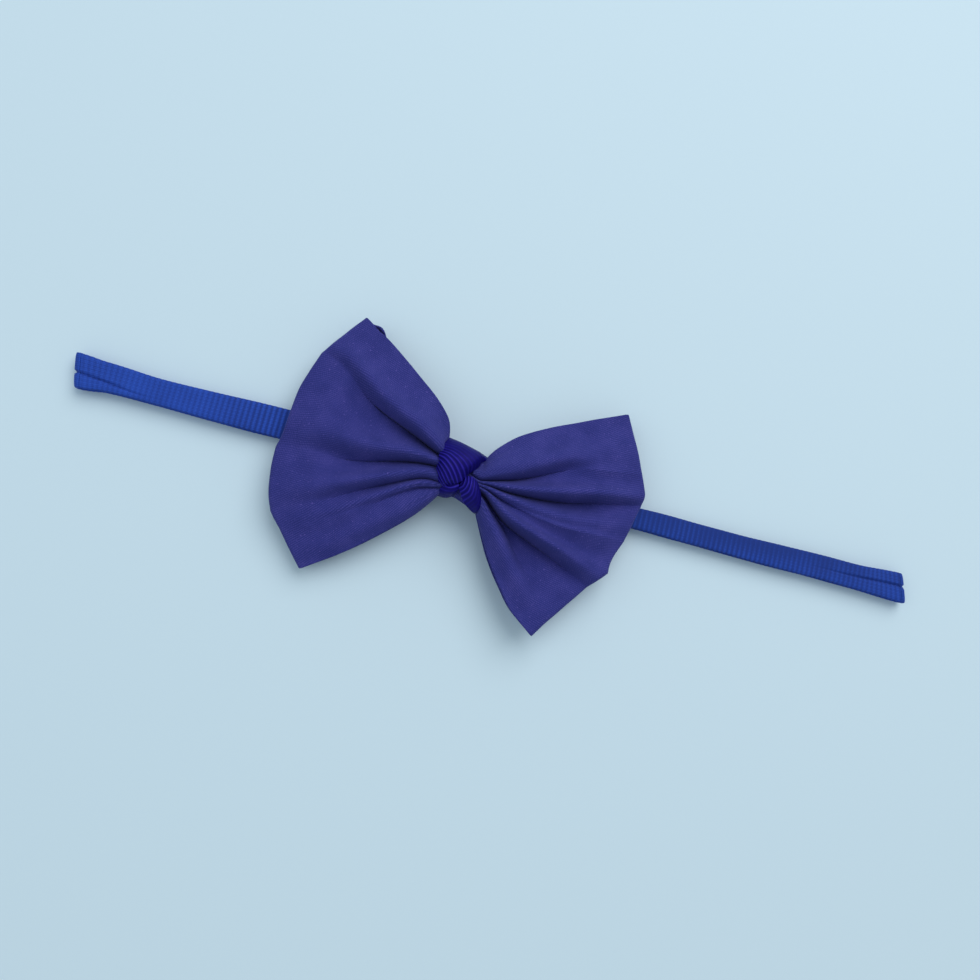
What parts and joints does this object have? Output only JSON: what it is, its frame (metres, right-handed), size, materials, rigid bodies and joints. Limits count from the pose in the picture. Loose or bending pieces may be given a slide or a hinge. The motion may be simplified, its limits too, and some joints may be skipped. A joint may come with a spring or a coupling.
{
  "type": "hair bow",
  "caption": "Pleated fabric hair bow gathered by a knotted grosgrain ribbon, sliding on a soft ribbed elastic headband laid flat.",
  "frame": {"origin": "on the surface that the back of the band lies on, under the knot, on the band's centre line", "axes": "+X along the band, towards its longer end; +Y up across the bow; +Z away from the head, out of the front of the knot"},
  "size_m": [0.2194, 0.0665, 0.0154],
  "materials": {
    "twill": "soft matt cotton twill",
    "ribbon": "ribbed grosgrain with a slight sheen",
    "band": "soft ribbed nylon knit",
    "thread": "spun polyester thread"
  },
  "bodies": {
    "back_strand": {"band_back_strand": "band", "band_left_turn": "band", "band_right_turn": "band", "band_front_left": "band", "band_front_right": "band", "band_join_stitches": "thread"},
    "front_strand": {"band_front_strand": "band"},
    "bow": {"bow_waist": "twill", "gathering_thread": "thread", "ribbon_upper_tail": "ribbon", "ribbon_lower_tail": "ribbon", "ribbon_tack_stitches": "thread", "knot_core": "ribbon", "knot_crossing_strand": "ribbon", "knot_top_fold": "ribbon", "knot_lower_fold": "ribbon"},
    "left_wing": {"left_wing_front": "twill", "left_wing_back": "twill", "left_wing_end_fold": "twill"},
    "right_wing": {"right_wing_front": "twill", "right_wing_back": "twill", "right_wing_end_fold": "twill"}
  },
  "joints": [
    {"name": "loop_open", "type": "slide", "parent": "back_strand", "child": "front_strand", "axis": [0, 0, 1], "range_m": [0, 0.03], "deforming": ["band_front_left", "band_front_right"]},
    {"name": "bow_slide", "type": "slide", "parent": "front_strand", "child": "bow", "axis": [1, 0, 0], "range_m": [-0.02, 0.03]},
    {"name": "left_wing_flex", "type": "hinge", "parent": "bow", "child": "left_wing", "pos_m": [-0.0072, 0, 0.008], "axis": [0, 1, 0], "range_deg": [0, 30], "stiffness_Nm_per_rad": 0.002},
    {"name": "right_wing_flex", "type": "hinge", "parent": "bow", "child": "right_wing", "pos_m": [0.0052, 0, 0.008], "axis": [0, -1, 0], "range_deg": [0, 30], "stiffness_Nm_per_rad": 0.002}
  ]
}
